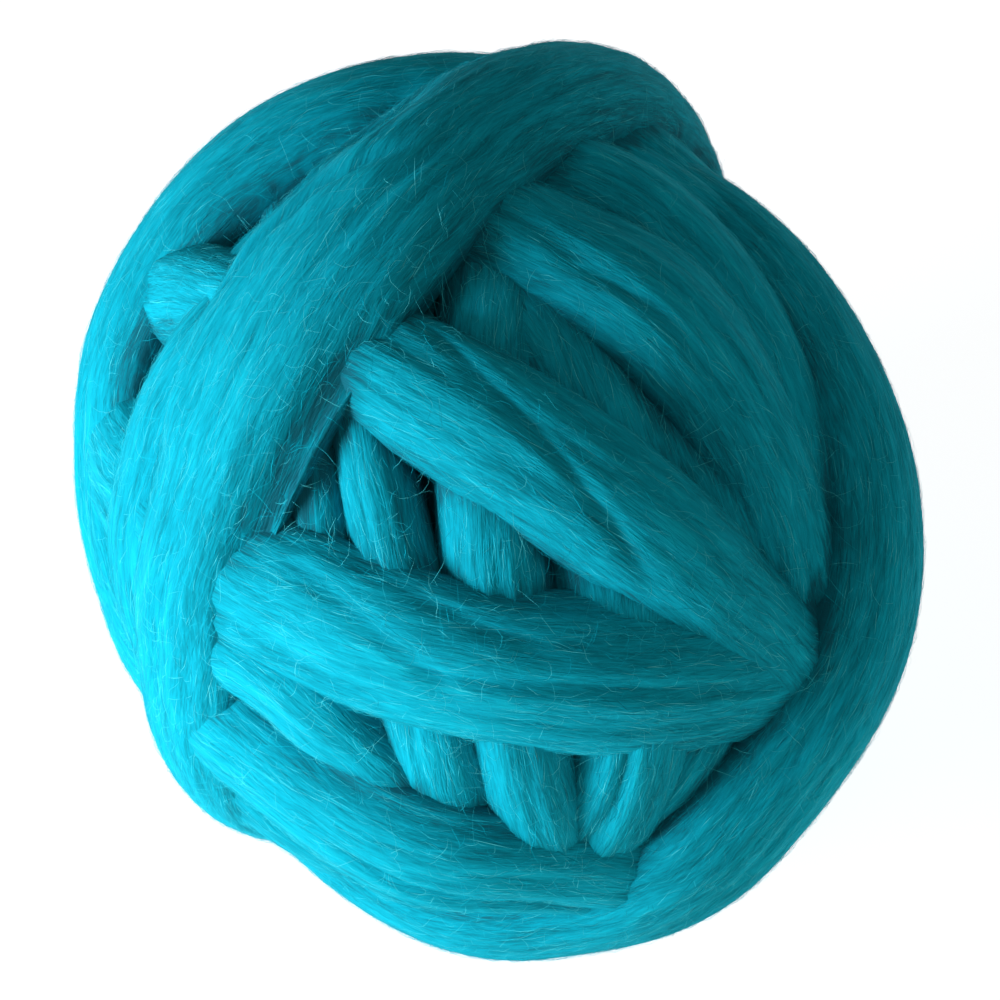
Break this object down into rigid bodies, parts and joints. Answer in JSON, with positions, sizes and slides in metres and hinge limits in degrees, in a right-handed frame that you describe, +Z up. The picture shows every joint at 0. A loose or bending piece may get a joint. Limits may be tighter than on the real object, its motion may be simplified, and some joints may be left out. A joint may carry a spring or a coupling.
{
  "type": "ball of super chunky merino yarn",
  "caption": "Ball of thick unspun merino strand, wound round itself in broad crossing turns, with a small flat spot to rest on.",
  "frame": {"origin": "on the flat spot that the ball rests on, under the ball's middle", "axes": "+Z up, +X to the right of the ball's face, which looks up and towards -Y"},
  "size_m": [0.216, 0.2246, 0.2245],
  "materials": {
    "merino": "soft combed wool fibre, turquoise, matt with a faint sheen"
  },
  "bodies": {
    "root": {"yarn_ball": "merino"}
  },
  "joints": []
}
